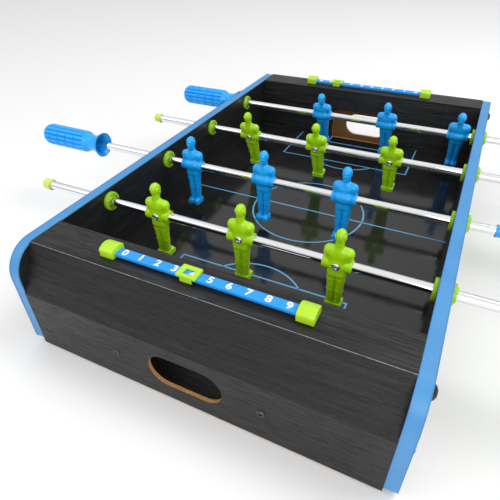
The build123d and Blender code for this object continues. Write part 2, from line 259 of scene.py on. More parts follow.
def laminate(name, along_axis, dark, light, bare=None, highlight_from=None):
    """Black grained laminate. It shows raw fibreboard where its distance from the table's
    middle along Y lies between the two bare ones, and a pale painted highlight where it is
    beyond the highlight distance (the ledge's fold)."""
    material, tree, shader, places = new_finish(name)
    stretch = [grain_across] * 3
    stretch[along_axis] = grain_along
    mapping = add_node(tree, "ShaderNodeMapping", Scale=stretch)
    join(tree, places, mapping.inputs["Vector"])
    grain = add_node(tree, "ShaderNodeGroup", node_tree=grain_group)
    join(tree, mapping.outputs["Vector"], grain.inputs["Vector"])
    skin = blend_colours(tree, grain.outputs["Streaks"], dark, light)
    skin = blend_colours(tree, grain.outputs["Pores"], skin, tuple(c * 0.45 for c in dark))
    rough = maths(tree, "MULTIPLY_ADD", grain.outputs["Pores"], 0.20, 0.38)
    shader.inputs["Specular IOR Level"].default_value = 0.36
    apart = tree.nodes.new("ShaderNodeSeparateXYZ")
    join(tree, places, apart.inputs["Vector"])
    reach = maths(tree, "ABSOLUTE", apart.outputs["Y"])
    # A pale painted highlight along the ledge's fold, broken up by noise.
    if highlight_from:
        fold_highlight = maths(tree, "GREATER_THAN", reach, highlight_from)
        fold_highlight = maths(tree, "MULTIPLY", fold_highlight, noise(tree, places, 260.0, 4.0, 0.7))
        skin = blend_colours(tree, fold_highlight, skin, (0.62, 0.62, 0.64))
    if bare:
        is_bare = maths(
            tree, "MULTIPLY",
            maths(tree, "GREATER_THAN", reach, bare[0]), maths(tree, "LESS_THAN", reach, bare[1]),
        )
        fibre = add_node(tree, "ShaderNodeGroup", node_tree=fibre_group)
        join(tree, places, fibre.inputs["Vector"])
        skin = blend_colours(tree, is_bare, skin, fibre.outputs["Color"])
        rough = maths(tree, "MULTIPLY_ADD", is_bare, 0.45, rough)
    paint(tree, shader, skin, rough)
    add_bump(tree, shader, grain.outputs["Height"], 0.00018, 0.55)
    return material


def refinish(node, material):
    """Gives a CAD node one finish all over."""
    slots = frame["nodes"][node].data.materials
    slots.clear()
    slots.append(material)


panel_finish = laminate("panel_laminate", 1, (0.006, 0.006, 0.007), (0.022, 0.022, 0.024))
for side in ("left", "right"):
    refinish(f"side_panel_{side}", panel_finish)

# The edging is a light blue plastic strip, 1 mm thick, glued all the way round each side
# panel. Its two long edges are trimmed to a small round, and its seam is under the table.
def mesh_piece(name, corners, faces, finish, smooth=True):
    """A new piece from corner points and faces, with one finish."""
    mesh = bpy.data.meshes.new(name)
    mesh.from_pydata([tuple(corner) for corner in corners], [], [tuple(face) for face in faces])
    if smooth:
        mesh.shade_smooth()
    mesh.materials.append(finish)
    return put_in_scene(name, mesh)


def strip_faces(rings, points, closed_rings=True):
    """Quads that join rings of points, each to the next; closed_rings joins last to first."""
    faces = []
    for ring in range(rings if closed_rings else rings - 1):
        after = (ring + 1) % rings
        for point in range(points):
            beside = (point + 1) % points
            faces.append(
                (ring * points + point, ring * points + beside, after * points + beside,
                 after * points + point)
            )
    return faces


# What a moulded plastic surface does: slow drifts of tone, and a faint skin texture
mould_group, mould_places, mould_out = new_group(
    "moulded_skin", Tone="Float", Gloss="Float", Height="Float"
)
for socket, scale, detail, roughness in (
    ("Tone", 45.0, 3.0, 0.5), ("Gloss", 160.0, 5.0, 0.65), ("Height", 1500.0, 2.0, 0.5)
):
    skin_noise = noise(mould_group, mould_places, scale, detail, roughness)
    join(mould_group, skin_noise, mould_out.inputs[socket])


def moulded_plastic(name, shade, roughness):
    """Coloured plastic with a faint moulded skin; shade is its middle colour."""
    material, tree, shader, places = new_finish(name)
    skin = add_node(tree, "ShaderNodeGroup", node_tree=mould_group)
    join(tree, places, skin.inputs["Vector"])
    deep = tuple(channel * 0.86 for channel in shade)
    pale = tuple(min(1.0, channel * 1.12) for channel in shade)
    rough = maths(tree, "MULTIPLY_ADD", skin.outputs["Gloss"], 0.16, roughness - 0.08)
    paint(tree, shader, blend_colours(tree, skin.outputs["Tone"], deep, pale), rough)
    add_bump(tree, shader, skin.outputs["Height"], 0.00008, 0.12)
    return material


edging_finish = moulded_plastic("edging_blue", (0.054, 0.25, 0.54), 0.42)
band_thick = 1.0 * mm
band_round, band_round_steps = 0.35 * mm, 3
panel_top_round = 26.0 * mm
panel_low_round = 6.0 * mm
corner_steps = 20


def edging(side):
    """The strip round one panel: a rounded oblong section carried round the panel's edge."""
    low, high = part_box(f"edge_band_{side}")
    outline = []
    quarter = pi / 2
    for y_sign, z_sign, start in ((1, 1, 0), (-1, 1, quarter), (-1, -1, pi), (1, -1, 3 * quarter)):
        turn = panel_top_round if z_sign > 0 else panel_low_round
        centre_y = (high.y if y_sign > 0 else low.y) - y_sign * turn
        centre_z = (high.z if z_sign > 0 else low.z) - z_sign * turn
        for step in range(corner_steps + 1):
            angle = start + quarter * step / corner_steps
            outline.append((centre_y, centre_z, turn, angle))
    section = []
    for x_side, direction in ((high.x, 1), (low.x, -1)):
        arc = [quarter * step / band_round_steps for step in range(band_round_steps + 1)]
        for angle in (arc if direction < 0 else reversed(arc)):
            across = x_side - direction * band_round * (1 - cos(angle))
            section.append((across, -band_round * (1 - sin(angle))))
    section.append((low.x, -band_thick))
    section.append((high.x, -band_thick))
    corners = []
    for centre_y, centre_z, turn, angle in outline:
        for across, depth in section:
            reach = turn + depth
            corners.append((across, centre_y + reach * cos(angle), centre_z + reach * sin(angle)))
    faces = strip_faces(len(outline), len(section))
    piece = mesh_piece(f"edging_{side}", corners, faces, edging_finish)
    tidy_normals(piece)
    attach(piece, "table")
    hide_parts(f"edge_band_{side}")


def tidy_normals(piece, sharp_degrees=35.0):
    """Turns all faces outwards and keeps edges sharper than the given angle crisp."""
    working = bmesh.new()
    working.from_mesh(piece.data)
    bmesh.ops.remove_doubles(working, verts=working.verts, dist=1e-7)
    bmesh.ops.recalc_face_normals(working, faces=working.faces)
    working.to_mesh(piece.data)
    working.free()
    piece.data.shade_smooth()
    piece.data.set_sharp_from_angle(angle=sharp_degrees * pi / 180)


for side in ("left", "right"):
    edging(side)

# Both ends are boxes of thin fibreboard with the grain across the table, glued to gussets in the
# corners. The inner wall and the trough's floor are laminated on both sides, and the lower face
# is bare behind; all holes show raw edges. The fold of the ledge has a pale painted highlight.
# The slope and the trough's floor are given darker colours than the ledge, and the lower face
# darker still; on the slope and the lower face this is painted shade.
ledge_top, face_out = 0.098, 0.254
board_thick = 3.2 * mm
ledge_fold = 0.234
laminate_skin = 0.15 * mm
wall_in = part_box("end_wall_far")[0].y
board_dark, board_light = (0.004, 0.004, 0.005), (0.030, 0.030, 0.031)
# The slope's colours are darker than the ledge's, on the same laminate: painted shade. The trough
# floor takes them too.
slope_shade_dark, slope_shade_light = (0.003, 0.003, 0.004), (0.016, 0.016, 0.017)
# The lower face's colours are darker still, on the same laminate: painted shade.
face_shade_dark, face_shade_light = (0.002, 0.002, 0.003), (0.014, 0.014, 0.015)
board_finishes = {
    # The ledge's last 0.35 mm before its fold gets a pale painted highlight.
    "end_ledge": laminate(
        "ledge_laminate", 0, board_dark, board_light, highlight_from=ledge_fold - 0.35 * mm
    ),
    "end_slope": laminate("slope_laminate", 0, slope_shade_dark, slope_shade_light),
    "end_face": laminate(
        "face_laminate", 0, face_shade_dark, face_shade_light, (0.0, face_out - laminate_skin)
    ),
    "end_wall": laminate(
        "wall_laminate", 0, board_dark, board_light,
        (wall_in + laminate_skin, wall_in + board_thick - laminate_skin),
    ),
    "trough_floor": laminate("trough_laminate", 0, slope_shade_dark, slope_shade_light),
}
for end in ("near", "far"):
    for board, finish in board_finishes.items():
        refinish(f"{board}_{end}", finish)

# Inside each end are bare fibreboard pieces: two guides that keep the balls at the return hole,
# and the gussets that everything is glued and screwed to.
bare_board, bare_tree, bare_shader, bare_places = new_finish("bare_fibreboard")
bare_fibre = add_node(bare_tree, "ShaderNodeGroup", node_tree=fibre_group)
join(bare_tree, bare_places, bare_fibre.inputs["Vector"])
bare_rough = maths(bare_tree, "MULTIPLY_ADD", bare_fibre.outputs["Height"], 0.2, 0.72)
paint(bare_tree, bare_shader, bare_fibre.outputs["Color"], bare_rough)
add_bump(bare_tree, bare_shader, bare_fibre.outputs["Height"], 0.0002, 0.5)
for node in ("trough_guides", "corner_gussets"):
    refinish(node, bare_board)

# The playfield is a board with a smooth glossy black face, slid into the panels' grooves. It
# shows soft reflections, a little dust and a faint ripple in its face.
field_finish, field_tree, field_shader, field_places = new_finish("playfield_gloss")
dust = noise(field_tree, field_places, 38.0, 8.0, 0.7)
dust_cover = ramp(field_tree, dust, [(0.45, (0, 0, 0)), (0.85, (1, 1, 1))])
paint(
    field_tree, field_shader,
    blend_colours(field_tree, dust_cover, (0.010, 0.010, 0.011), (0.022, 0.022, 0.024)),
    maths(field_tree, "MULTIPLY_ADD", dust_cover, 0.08, 0.10),
)
ripple = noise(field_tree, field_places, 70.0, 2.0)
add_bump(field_tree, field_shader, ripple, 0.0002, 0.25)
refinish("playfield", field_finish)

# The pitch markings are printed on the playfield in light blue ink, 1.7 mm wide: a centre line
# and circle, and at each end a penalty area with its arc, and a goal area.
field_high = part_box("playfield")[1]
wall_y = field_high.y
half_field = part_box("side_panel_right")[0].x
ink_half = 0.85 * mm
ink_thick = 0.05 * mm
ink_top = field_high.z + ink_thick
ink_low = field_high.z - ink_thick


def ink_line(path, closed=False):
    """Corners and faces of a thin printed line along a path of (x, y) points."""
    path = [Vector(point) for point in path]
    count = len(path)
    corners = []
    for number, point in enumerate(path):
        before = path[number - 1] if number or closed else point
        after = path[(number + 1) % count] if number < count - 1 or closed else point
        ahead = (point - before).normalized() + (after - point).normalized()
        ahead.normalize()
        lean = (after - point if (after - point).length else point - before).normalized()
        side = Vector((-ahead.y, ahead.x)) * ink_half / max(0.3, ahead.dot(lean))
        for place, height in ((point + side, ink_top), (point - side, ink_top),
                              (point - side, ink_low), (point + side, ink_low)):
            corners.append((place.x, place.y, height))
    faces = strip_faces(count, 4, closed)
    if not closed:
        last = 4 * (count - 1)
        faces += [(3, 2, 1, 0), (last, last + 1, last + 2, last + 3)]
    return corners, faces


def arc_points(centre_y, radius, start, end, steps):
    return [
        (radius * cos(start + (end - start) * step / steps),
         centre_y + radius * sin(start + (end - start) * step / steps))
        for step in range(steps + 1)
    ]


centre_circle = 61.0 * mm
penalty_half, penalty_y = 82.0 * mm, 126.5 * mm
penalty_arc, penalty_arc_y, penalty_arc_half = 51.3 * mm, 160.6 * mm, 38.4 * mm
goal_area_half, goal_area_y = 37.0 * mm, 183.0 * mm
arc_steps = 96
markings = [
    ink_line([(-half_field, 0), (half_field, 0)]),
    ink_line(arc_points(0, centre_circle, 0, 2 * pi, arc_steps)[:-1], closed=True),
]
for end in (-1, 1):
    for half, y in ((penalty_half, penalty_y), (goal_area_half, goal_area_y)):
        area = [(-half, wall_y), (-half, y), (half, y), (half, wall_y)]
        markings.append(ink_line([(x, end * along) for x, along in area]))
    reach = np.arcsin(penalty_arc_half / penalty_arc)
    middle = -end * pi / 2
    arc = arc_points(
        end * penalty_arc_y, penalty_arc, middle - reach, middle + reach, arc_steps // 2
    )
    markings.append(ink_line(arc))
marking_corners, marking_faces = [], []
for corners, faces in markings:
    start = len(marking_corners)
    marking_corners += corners
    marking_faces += [tuple(start + corner for corner in face) for face in faces]

ink, ink_tree, ink_shader, ink_places = new_finish("marking_ink")
ink_noise = noise(ink_tree, ink_places, 900.0, 4.0, 0.6)
ink_cover = ramp(ink_tree, ink_noise, [(0.25, (0, 0, 0)), (0.42, (1, 1, 1))])
paint(
    ink_tree, ink_shader,
    blend_colours(ink_tree, ink_cover, (0.05, 0.15, 0.26), (0.11, 0.36, 0.62)),
    maths(ink_tree, "MULTIPLY_ADD", ink_cover, 0.12, 0.2),
)
field_markings = mesh_piece("field_markings", marking_corners, marking_faces, ink, smooth=False)
tidy_normals(field_markings)
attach(field_markings, "table")

# The bushings are lime green plastic: a flanged bush pushed through each hole in the panels, a
# ring pressed on outside, and a sleeve that turns in the bush with the rod.
bushing_finish = moulded_plastic("bushing_green", (0.29, 0.58, 0.012), 0.34)
refinish("rod_bushings", bushing_finish)
refinish("bushing_rings", bushing_finish)
for number in range(1, 5):
    refinish(f"rod_{number}_sleeves", bushing_finish)

# The rods are 8 mm chromed steel tubes with a bright drawn finish, faintly lined along their
# length and smeared by hands.
chrome, chrome_tree, chrome_shader, chrome_places = new_finish("rod_chrome")
chrome_shader.inputs["Metallic"].default_value = 1.0
drawn = add_node(chrome_tree, "ShaderNodeMapping", Scale=(12.0, 1800.0, 1800.0))
join(chrome_tree, chrome_places, drawn.inputs["Vector"])
drawn_lines = noise(chrome_tree, drawn.outputs["Vector"], 1.0, 2.0)
smears = noise(chrome_tree, chrome_places, 90.0, 5.0, 0.6)
paint(
    chrome_tree, chrome_shader,
    blend_colours(chrome_tree, smears, (0.80, 0.81, 0.83), (0.90, 0.90, 0.91)),
    maths(chrome_tree, "MULTIPLY_ADD", smears, 0.10, 0.02),
)
add_bump(chrome_tree, chrome_shader, drawn_lines, 0.00004, 0.12)


def turned(name, profile, finish, segments):
    """A piece turned about the rod's axis from a closed profile of (along, radius) points."""
    corners = []
    for step in range(segments):
        angle = 2 * pi * step / segments
        for along, radius in profile:
            corners.append((along, radius * cos(angle), radius * sin(angle)))
    piece = mesh_piece(name, corners, strip_faces(segments, len(profile)), finish)
    tidy_normals(piece)
    return piece


rod_names = [f"rod_{number}" for number in range(1, 5)]
# How far each rod is turned, so that its men's heads lean towards the near end
rod_leans = dict(zip(rod_names, (0.0, 0.0, 18.0, 21.0)))
rod_axes = {
    joint["child"].removesuffix("_sleeves"): Vector(joint["pos_m"])
    for joint in frame["joints"]
    if joint["name"].endswith("_spin")
}


def rod_place(rod):
    """Where a piece drawn for a rod along X, with its handle on the left, goes."""
    axis = rod_axes[rod]
    man_low, man_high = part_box(f"{rod}_man_middle")
    handle_low, handle_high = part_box(f"{rod}_handle")
    half_turn = pi if handle_low.x + handle_high.x > 0 else 0.0
    lean = rod_leans[rod] * pi / 180
    middle = Vector(((man_low.x + man_high.x) / 2, axis.y, axis.z))
    return (
        Matrix.Translation(middle) @ Matrix.Rotation(lean, 4, "X")
        @ Matrix.Rotation(half_turn, 4, "Z")
    )


def fit_to_rod(piece, rod, part):
    """Puts a finished piece on its rod, in the place of that rod's CAD part."""
    piece.data.transform(rod_place(rod))
    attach(piece, rod)
    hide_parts(f"{rod}_{part}")


rod_radius, rod_bore = 4.0 * mm, 3.0 * mm
tube_start, tube_end = -276.4 * mm, 217.8 * mm
tube_chamfer = 0.3 * mm
tube_profile = [
    (tube_start, rod_bore),
    (tube_start, rod_radius - tube_chamfer),
    (tube_start + tube_chamfer, rod_radius),
    (tube_end - tube_chamfer, rod_radius),
    (tube_end, rod_radius - tube_chamfer),
    (tube_end, rod_bore),
]
for rod in rod_names:
    fit_to_rod(turned(f"{rod}_chrome_tube", tube_profile, chrome, 96), rod, "tube")

# Each team's rods have a moulded grip on one end, with fourteen rows of raised pads crossed by
# rings, a smooth shoulder, and a bell mouth. It is pushed onto the rod.
team_finishes = {
    "blue": moulded_plastic("team_blue", (0.006, 0.36, 0.90), 0.30),
    "green": moulded_plastic("team_green", (0.36, 0.67, 0.005), 0.30),
}
teams = {"rod_1": "green", "rod_2": "blue", "rod_3": "green", "rod_4": "blue"}
grip_start, grip_mouth = -291.0 * mm, -204.4 * mm
grip_length = grip_mouth - grip_start
grip_radius, neck_radius = 12.2 * mm, 8.85 * mm
dome_length, pads_end, neck_start = 9.0 * mm, 65.0 * mm, 71.0 * mm
shoulder_start = 62.0 * mm
mouth_radius, mouth_bore, throat_bore, mouth_depth = 13.7 * mm, 9.6 * mm, 7.2 * mm, 10.0 * mm
flare_end = grip_length + 7 * mm
pad_rows, pad_length, first_ring = 14, 12.0 * mm, 14.5 * mm
row_groove, ring_groove, pad_crown = 2.1 * mm, 1.7 * mm, 0.15 * mm
row_segments = 14
row_width, ring_width = 0.5, 0.17


def ease(low, high, value):
    """0 below low and 1 above high, with a smooth rise between."""
    share = np.clip((value - low) / (high - low), 0.0, 1.0)
    return share * share * (3 - 2 * share)


def grip_outside(along):
    """The grip's smooth outer radius at a distance from its rounded end."""
    if along < dome_length:
        flat = grip_radius - dome_length
        return flat + (dome_length ** 2 - (dome_length - along) ** 2) ** 0.5
    if along < neck_start:
        return grip_radius + (neck_radius - grip_radius) * ease(shoulder_start, neck_start, along)
    flare = ease(neck_start, flare_end, along) ** 1.5
    top = ease(neck_start, flare_end, grip_length) ** 1.5
    return neck_radius + (mouth_radius - neck_radius) * flare / top


def grip_mesh(name, finish):
    segments = pad_rows * row_segments
    stations = list(dome_length * (1 - np.cos(np.linspace(0, pi / 2, 18, endpoint=False))))
    stations += list(np.linspace(dome_length, pads_end, 150, endpoint=False))
    stations += list(np.linspace(pads_end, grip_length, 40))
    corners = []
    angles = np.arange(segments) * 2 * pi / segments
    # 0 in the middle of a pad, and 1 in the middle of a groove
    row_edge = np.abs((angles * pad_rows / (2 * pi)) % 1.0 - 0.5) * 2
    row_depth = row_groove * ease(1 - row_width, 1.0, row_edge) + pad_crown * row_edge ** 2
    for along in stations:
        ring_edge = abs(((along - first_ring) / pad_length) % 1.0 - 0.5) * 2
        grooved = ease(1 * mm, 6 * mm, along)
        grooved *= 1 - ease(pads_end - 4 * mm, pads_end, along)
        ringed = ease(6 * mm, 10 * mm, along)
        ringed *= 1 - ease(pads_end - 9 * mm, pads_end - 7 * mm, along)
        ring_depth = ring_groove * ease(1 - ring_width, 1.0, ring_edge) * ringed
        radii = grip_outside(along) - np.maximum(row_depth * grooved, ring_depth)
        for angle, radius in zip(angles, radii):
            corners.append((grip_start + along, radius * cos(angle), radius * sin(angle)))
    # The mouth's rounded lip, its stepped inside, and the face round the rod
    lip = 0.5 * mm
    inside = [
        (grip_length, mouth_radius - lip),
        (grip_length - lip, mouth_radius - 2 * lip),
        (grip_length - mouth_depth * 0.22, mouth_bore),
        (grip_length - mouth_depth * 0.5, mouth_bore - 0.6 * mm),
        (grip_length - mouth_depth * 0.9, throat_bore + 0.6 * mm),
        (grip_length - mouth_depth, throat_bore),
        (grip_length - mouth_depth, rod_radius),
    ]
    for along, radius in inside:
        for angle in angles:
            corners.append((grip_start + along, radius * cos(angle), radius * sin(angle)))
    rings = len(stations) + len(inside)
    faces = strip_faces(rings, segments, closed_rings=False)
    faces.append(tuple(range(segments)))
    faces.append(tuple(reversed(range((rings - 1) * segments, rings * segments))))
    piece = mesh_piece(name, corners, faces, finish)
    tidy_normals(piece, 50.0)
    return piece


for rod in rod_names:
    team = teams[rod]
    grip = grip_mesh(f"{rod}_grip", team_finishes[team])
    fit_to_rod(grip, rod, "handle")

# A soft plastic cap is pushed over the other end of each rod, rounded at its end and with a
# small bead round its open edge.
cap_start, cap_end, cap_radius = 211.0 * mm, 219.8 * mm, 5.5 * mm
cap_round, cap_bead = 1.6 * mm, 0.35 * mm
cap_eye = 0.4 * mm
cap_steps = 6
cap_profile = [(cap_start, rod_radius), (cap_start, cap_radius - cap_bead)]
cap_profile += [(cap_start + cap_bead, cap_radius), (cap_start + 4 * cap_bead, cap_radius)]
cap_profile += [(cap_start + 5 * cap_bead, cap_radius - cap_bead)]
for step in range(cap_steps + 1):
    angle = pi / 2 * step / cap_steps
    cap_profile.append((
        cap_end - cap_round * (1 - sin(angle)), cap_radius - cap_bead - cap_round * (1 - cos(angle))
    ))
cap_profile += [(cap_end, cap_eye), (tube_end, cap_eye), (tube_end, rod_radius)]
cap_finishes = {
    "blue": team_finishes["blue"],
    "green": moulded_plastic("cap_lime", (0.60, 0.72, 0.12), 0.34),
}
for rod in rod_names:
    team = teams[rod]
    cap = turned(f"{rod}_cap", cap_profile, cap_finishes[team], 48)
    fit_to_rod(cap, rod, "end_cap")

# The men are moulded plastic, one mould for all twelve: a player whose elbows are discs round
# the rod, in a loose shirt, shorts and ringed socks, on a block of two boots. A screw in the
# back holds each to the rod. The shape is a field of distances in millimetres, centred on the
# rod's axis with the face towards -Y, and the mesh is drawn where it is nought.
def ball(points, centre, radii):
    offset = (points - centre) / radii
    length = np.linalg.norm(offset, axis=1)
    slope = np.linalg.norm(offset / radii, axis=1) + 1e-9
    return length * (length - 1) / slope


def limb(points, start, end, start_radius, end_radius):
    start, end = np.array(start), np.array(end)
    along = end - start
    share = np.clip((points - start) @ along / (along @ along), 0, 1)
    nearest = start + share[:, None] * along
    radius = start_radius + share * (end_radius - start_radius)
    return np.linalg.norm(points - nearest, axis=1) - radius


def block(points, centre, half, rounding):
    offset = np.abs(points - centre) - (np.array(half) - rounding)
    outside = np.linalg.norm(np.maximum(offset, 0), axis=1)
    return outside + np.minimum(offset.max(axis=1), 0) - rounding


def roller(points, axis, centre, radius, half, rounding=0.4):
    """A cylinder with rounded rims along the numbered axis."""
    offset = points - centre
    across = np.linalg.norm(np.delete(offset, axis, axis=1), axis=1) - radius + rounding
    along = np.abs(offset[:, axis]) - half + rounding
    outside = np.hypot(np.maximum(across, 0), np.maximum(along, 0))
    return outside + np.minimum(np.maximum(across, along), 0) - rounding


def melt(first, second, width):
    """Two shapes as one, with a fillet about as wide as given."""
    share = np.clip(0.5 + 0.5 * (second - first) / width, 0, 1)
    return second + (first - second) * share - width * share * (1 - share)


def carve(first, second, width=0.25):
    return -melt(-first, second, width)


def man_head(points):
    x, y, z = points.T
    head = ball(points, (0, -0.2, 25.4), (4.0, 4.9, 5.5))
    head = melt(head, ball(points, (0, -1.3, 22.2), (3.3, 3.8, 4.2)), 1.8)
    head = melt(head, limb(points, (0, 0.7, 12.5), (0, 0.9, 23.5), 3.8, 3.1), 1.4)
    head = melt(head, limb(points, (0, -4.6, 26.3), (2.3, -4.0, 26.1), 0.55, 0.45), 0.9)
    head = melt(head, limb(points, (0, -4.9, 25.4), (0, -5.7, 23.6), 0.45, 0.75), 0.6)
    head = melt(head, ball(points, (0, -4.2, 19.9), (1.4, 1.1, 1.0)), 0.9)
    head = melt(head, limb(points, (0, -4.7, 22.0), (1.1, -4.4, 22.0), 0.4, 0.3), 0.35)
    head = carve(head, limb(points, (0, -5.2, 21.5), (1.0, -4.9, 21.6), 0.2, 0.15), 0.3)
    head = carve(head, ball(points, (1.7, -5.0, 25.0), (1.0, 0.8, 0.7)), 0.6)
    head = melt(head, ball(points, (1.6, -4.15, 25.0), (0.65, 0.5, 0.45)), 0.2)
    head = melt(head, ball(points, (3.95, 0.3, 24.2), (0.7, 1.2, 1.7)), 0.3)
    strands = 0.22 * (1 + np.sin(2 * pi * (x + 0.25 * y) / 1.7)) * ease(22.5, 25.0, z)
    hair = ball(points, (0, 0.2, 25.7), (4.55, 5.3, 5.45)) + strands
    below_hairline = (24.4 - 0.66 * y + 0.06 * x * x - z) * 0.8
    return melt(head, np.maximum(hair, below_hairline), 0.25)


def man_trunk(points):
    y, z = points[:, 1], points[:, 2]
    trunk = block(points, (0, 0.3, 3.0), (7.7, 5.2, 10.0), 4.6)
    trunk = melt(trunk, limb(points, (0, 0.4, 11.4), (7.4, 0.3, 11.1), 4.3, 4.2), 2.6)
    trunk = melt(trunk, limb(points, (0, 0.8, 13.4), (7.0, 0.4, 12.4), 2.9, 2.6), 2.6)
    trunk = melt(trunk, roller(points, 1, (0, 1.8, 0), 4.2, 4.0, 0.6), 1.6)
    trunk = melt(trunk, limb(points, (0, -2.5, 0.9), (4.4, -2.5, 1.2), 5.8, 5.4), 2.2)
    under_chest = -5.6 - 0.1 * y - z
    trunk = np.maximum(trunk, np.where(y < 0, under_chest, under_chest - 0.9 * ease(0, 3, y)))
    trunk = melt(trunk, limb(points, (7.9, 0.3, 10.8), (8.4, 0.2, 2.5), 3.7, 3.0), 1.8)
    trunk = melt(trunk, roller(points, 0, (0, 0, 0), 5.6, 11.8, 0.5), 0.5)
    return carve(trunk, limb(points, (0, -6.2, 16.5), (0, -8.0, 7.4), 3.3, 1.6), 1.6)


def man_legs(points):
    y, z = points[:, 1], points[:, 2]
    hips = block(points, (0, 0.2, -6.8), (7.4, 4.8, 5.6), 3.6)
    thighs = limb(points, (3.7, 0.1, -9), (3.7, 0.1, -20), 4.0, 3.85)
    shorts = np.maximum(melt(hips, thighs, 1.2), -16.4 - 0.1 * y - z)
    shorts = carve(shorts, limb(points, (0, -5.2, -8.5), (0, -5.0, -18), 0.5, 0.9), 0.8)
    shorts = carve(shorts, limb(points, (0, 5.8, -8.5), (0, 5.2, -18), 0.5, 0.9), 0.8)
    leg = limb(points, (3.65, 0, -14), (3.0, 0, -42), 3.65, 2.95)
    sock_top = -26.3
    leg = np.minimum(leg, np.maximum(leg - 0.3, np.abs(z - sock_top) - 0.4))
    boots = block(points, (0, -1.95, -42.7), (6.5, 5.85, 2.3), 0.6)
    boots = melt(boots, ball(points, (3.1, -4.4, -40.6), (2.9, 3.6, 2.3)), 0.5)
    rim = block(points, (0, -0.6, -40.2), (6.5, 4.5, 0.9), 0.3)
    rim = carve(rim, block(points, (0, -0.6, -39.3), (5.6, 3.6, 1.6), 0.3))
    boots = melt(boots, rim, 0.2)
    boots = carve(boots, roller(points, 2, (0, -8.9, -42), 1.9, 9.0))
    boots = carve(boots, roller(points, 1, (0, -8, -46.2), 2.9, 7.0))
    legs = melt(leg, boots, 0.6)
    return np.minimum(legs, shorts)


def man_surface(points):
    mirrored = np.column_stack((np.abs(points[:, 0]), points[:, 1:]))
    man = melt(man_head(mirrored), man_trunk(mirrored), 1.8)
    man = melt(man, man_legs(mirrored), 0.3)
    man = carve(man, roller(mirrored, 1, (0, 7.6, 0), 3.75, 2.0, 0.1), 0.15)
    return carve(man, roller(mirrored, 0, (0, 0, 0), 4.05, 20.0, 0.1), 0.1)


def net_mesh(name, surface, low, high, pitch):
    """A mesh in metres of where a distance field is nought between two corners in mm."""
    counts = np.ceil((np.array(high) - low) / pitch).astype(int) + 1
    axes = [low[axis] + pitch * np.arange(counts[axis]) for axis in range(3)]
    grid = np.stack(np.meshgrid(*axes, indexing="ij"), axis=-1).reshape(-1, 3)
    values = surface(grid).reshape(counts)
    cells = counts - 1
    total, crossings = np.zeros((*cells, 3)), np.zeros(cells)
    inside = values < 0
    corner_shape = [slice(0, -1), slice(1, None)]
    for axis in range(3):
        beside = [other for other in range(3) if other != axis]
        for first in (0, 1):
            for second in (0, 1):
                picks = [None] * 3
                picks[beside[0]], picks[beside[1]] = corner_shape[first], corner_shape[second]
                picks[axis] = corner_shape[0]
                start, start_in = values[tuple(picks)], inside[tuple(picks)]
                picks[axis] = corner_shape[1]
                end, end_in = values[tuple(picks)], inside[tuple(picks)]
                crossed = start_in != end_in
                share = np.where(crossed, start / np.where(crossed, start - end, 1), 0)
                crossings += crossed
                total[..., axis] += share
                total[..., beside[0]] += crossed * first
                total[..., beside[1]] += crossed * second
    used = crossings > 0
    numbers = np.full(cells, -1)
    numbers[used] = np.arange(used.sum())
    corners = low + pitch * (np.argwhere(used) + total[used] / crossings[used][:, None])
    quads = []
    for axis in range(3):
        beside = [(axis + 1) % 3, (axis + 2) % 3]
        start = np.take(inside, range(counts[axis] - 1), axis)
        end = np.take(inside, range(1, counts[axis]), axis)
        for leaving in (True, False):
            edges = np.argwhere((start & ~end) if leaving else (~start & end))
            around = []
            for back_first, back_second in ((0, 0), (1, 0), (1, 1), (0, 1)):
                cell = edges.copy()
                cell[:, beside[0]] -= back_first
                cell[:, beside[1]] -= back_second
                around.append(numbers[tuple(cell.T)])
            quads.append(np.column_stack(around if leaving else around[::-1]))
    # The mesh is drawn onto the true surface with two steps along its slope
    reach = 0.02
    for _ in range(2):
        value = surface(corners)
        slope = np.column_stack(
            [(surface(corners + reach * np.eye(3)[axis]) - value) / reach for axis in range(3)]
        )
        step = value / np.maximum((slope ** 2).sum(axis=1), 0.25)
        corners = corners - np.clip(step, -pitch / 2, pitch / 2)[:, None] * slope
    mesh = bpy.data.meshes.new(name)
    mesh.from_pydata((corners * mm).tolist(), [], np.concatenate(quads).tolist())
    mesh.shade_smooth()
    return mesh


man_pitch = 82.5 * mm
man_mesh = net_mesh("man", man_surface, (-12.4, -9.6, -45.8), (12.4, 7.6, 32.0), 0.4)
for rod in rod_names:
    turned_about = rod_place(rod)[0][0] < 0
    for number, side in enumerate(("left", "middle", "right")):
        along = (number - 1) * man_pitch * (-1 if turned_about else 1)
        shape = man_mesh.copy()
        shape.transform(Matrix.Translation((along, 0, 0)))
        shape.materials.append(team_finishes[teams[rod]])
        man = put_in_scene(f"{rod}_player_{side}", shape)
        fit_to_rod(man, rod, f"man_{side}")
bpy.data.meshes.remove(man_mesh)

# Each ledge has a scorer: a bright blue bar printed with white digits, held at its ends by two
# arched green blocks that are pegged into the ledge. The near one reads from the near end, and
# the far one from the far end.
scorer_blue = moulded_plastic("scorer_blue_plastic", (0.010, 0.29, 0.80), 0.36)
scorer_green = moulded_plastic("scorer_green_plastic", (0.40, 0.68, 0.020), 0.32)


